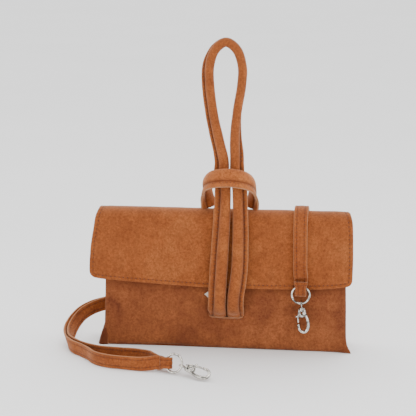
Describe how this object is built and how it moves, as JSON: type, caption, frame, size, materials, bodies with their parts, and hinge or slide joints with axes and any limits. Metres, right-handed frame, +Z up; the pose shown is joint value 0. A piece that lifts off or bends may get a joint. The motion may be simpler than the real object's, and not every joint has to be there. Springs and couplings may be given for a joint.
{
  "type": "wristlet wallet",
  "caption": "Suede clutch bag with a front flap, a rolled wrist loop drawn up through a keeper, and a loose shoulder strap with swivel snap hooks.",
  "frame": {"origin": "middle of the base panel's underside", "axes": "+Z up, the front flap faces -Y, +X is to the right seen from the front"},
  "size_m": [0.3103, 0.1405, 0.3313],
  "materials": {
    "suede": "cognac suede, matte nap",
    "lining": "woven lining",
    "board": "stiffener board",
    "tape": "woven zip tape",
    "nickel": "polished nickel",
    "teeth": "nickel zip teeth"
  },
  "bodies": {
    "bag": {"front_panel": "suede", "back_panel": "suede", "base_panel": "suede", "base_board": "board", "gusset_left": "suede", "gusset_right": "suede", "lining": "lining", "slit_backing": "board", "zip_tape_upper": "tape", "zip_tape_lower": "tape", "zip_teeth_upper": "teeth", "zip_teeth_lower": "teeth", "zip_pocket": "lining", "d_ring_tab_left": "suede", "d_ring_tab_right": "suede", "strap_outer_back": "suede", "strap_inner_back": "suede", "strap_left_fold": "suede"},
    "flap": {"flap_outer": "suede", "flap_board": "board", "flap_lining": "lining", "keeper": "suede", "strap_outer_front": "suede", "strap_inner_front": "suede", "strap_right_fold": "suede"},
    "handle_legs": {"loop_leg_left": "suede", "loop_leg_right": "suede"},
    "handle_loop": {"wrist_loop": "suede"},
    "slider": {"zip_slider": "nickel"},
    "puller": {"zip_puller": "nickel"},
    "inner_ring_left": {"d_ring_left": "nickel"},
    "inner_ring_right": {"d_ring_right": "nickel"},
    "right_ring": {"right_ring": "nickel"},
    "right_eye": {"right_clasp_eye": "nickel"},
    "right_hook": {"right_clasp_hook": "nickel", "right_clasp_pin": "nickel", "right_clasp_spring": "nickel"},
    "right_trigger": {"right_clasp_trigger": "nickel"},
    "left_ring": {"left_ring": "nickel"},
    "left_eye": {"left_clasp_eye": "nickel"},
    "left_hook": {"left_clasp_hook": "nickel", "left_clasp_pin": "nickel", "left_clasp_spring": "nickel"},
    "left_trigger": {"left_clasp_trigger": "nickel"}
  },
  "joints": [
    {"name": "flap_hinge", "type": "hinge", "parent": "bag", "child": "flap", "pos_m": [0, 0.0126, 0.1386], "axis": [-1, 0, 0], "range_deg": [0, 180], "deforming": ["keeper", "strap_outer_front", "strap_inner_front", "strap_right_fold", "strap_outer_back", "strap_inner_back", "strap_left_fold"]},
    {"name": "handle_swing", "type": "hinge", "parent": "bag", "child": "handle_legs", "pos_m": [0.0042, -0.02, 0.04], "axis": [1, 0, 0], "range_deg": [0, 95.1], "deforming": ["loop_leg_left", "loop_leg_right"]},
    {"name": "loop_tilt", "type": "hinge", "parent": "handle_legs", "child": "handle_loop", "pos_m": [0.0072, -0.0204, 0.1992], "axis": [1, 0, 0], "range_deg": [-30, 30], "deforming": ["wrist_loop"]},
    {"name": "right_ring_swing", "type": "hinge", "parent": "flap", "child": "right_ring", "pos_m": [0.083, -0.0268, 0.075], "axis": [-1, 0, 0], "range_deg": [0, 90]},
    {"name": "right_eye_swing", "type": "hinge", "parent": "right_ring", "child": "right_eye", "pos_m": [0.08397, -0.0268, 0.05645], "axis": [-0.9945, 0, -0.1045], "range_deg": [0, 90]},
    {"name": "right_swivel", "type": "hinge", "parent": "right_eye", "child": "right_hook", "pos_m": [0.08397, -0.0268, 0.05645], "axis": [-0.1045, 0, 0.9945], "continuous": true},
    {"name": "right_trigger_press", "type": "hinge", "parent": "right_hook", "child": "right_trigger", "pos_m": [0.08306, -0.0268, 0.04409], "axis": [0, -1, 0], "range_deg": [0, 20], "stiffness_Nm_per_rad": 0.02, "springref_deg": -5.73, "deforming": ["right_clasp_spring"]},
    {"name": "left_ring_swing", "type": "hinge", "parent": "bag", "child": "left_ring", "pos_m": [-0.0504, -0.0919, 0.01], "axis": [0, -0.3401, -0.9404], "range_deg": [-60, 60]},
    {"name": "left_eye_swing", "type": "hinge", "parent": "left_ring", "child": "left_eye", "pos_m": [-0.03326, -0.09873, 0.00994], "axis": [0.2392, 0.2449, 0.9396], "range_deg": [-30, 60]},
    {"name": "left_swivel", "type": "hinge", "parent": "left_eye", "child": "left_hook", "pos_m": [-0.03326, -0.09873, 0.00994], "axis": [-0.9113, 0.3906, 0.1302], "continuous": true},
    {"name": "left_trigger_press", "type": "hinge", "parent": "left_hook", "child": "left_trigger", "pos_m": [-0.02131, -0.10201, 0.00976], "axis": [0.1615, 0.6301, -0.7595], "range_deg": [0, 20], "stiffness_Nm_per_rad": 0.02, "springref_deg": -5.73, "deforming": ["left_clasp_spring"]},
    {"name": "zip_slide", "type": "slide", "parent": "bag", "child": "slider", "axis": [-1, 0, 0], "range_m": [0, 0.136]},
    {"name": "puller_lift", "type": "hinge", "parent": "slider", "child": "puller", "pos_m": [0.0695, 0.006, 0.104], "axis": [0, 0, 1], "range_deg": [0, 95]},
    {"name": "inner_ring_left_swing", "type": "hinge", "parent": "bag", "child": "inner_ring_left", "pos_m": [-0.1217, 0, 0.12], "axis": [0, -1, 0], "range_deg": [0, 145]},
    {"name": "inner_ring_right_swing", "type": "hinge", "parent": "bag", "child": "inner_ring_right", "pos_m": [0.1217, 0, 0.12], "axis": [0, 1, 0], "range_deg": [0, 145]}
  ],
  "couplings": [
    {"joint": "handle_swing", "follows": "flap_hinge", "ratio": 0.528}
  ]
}
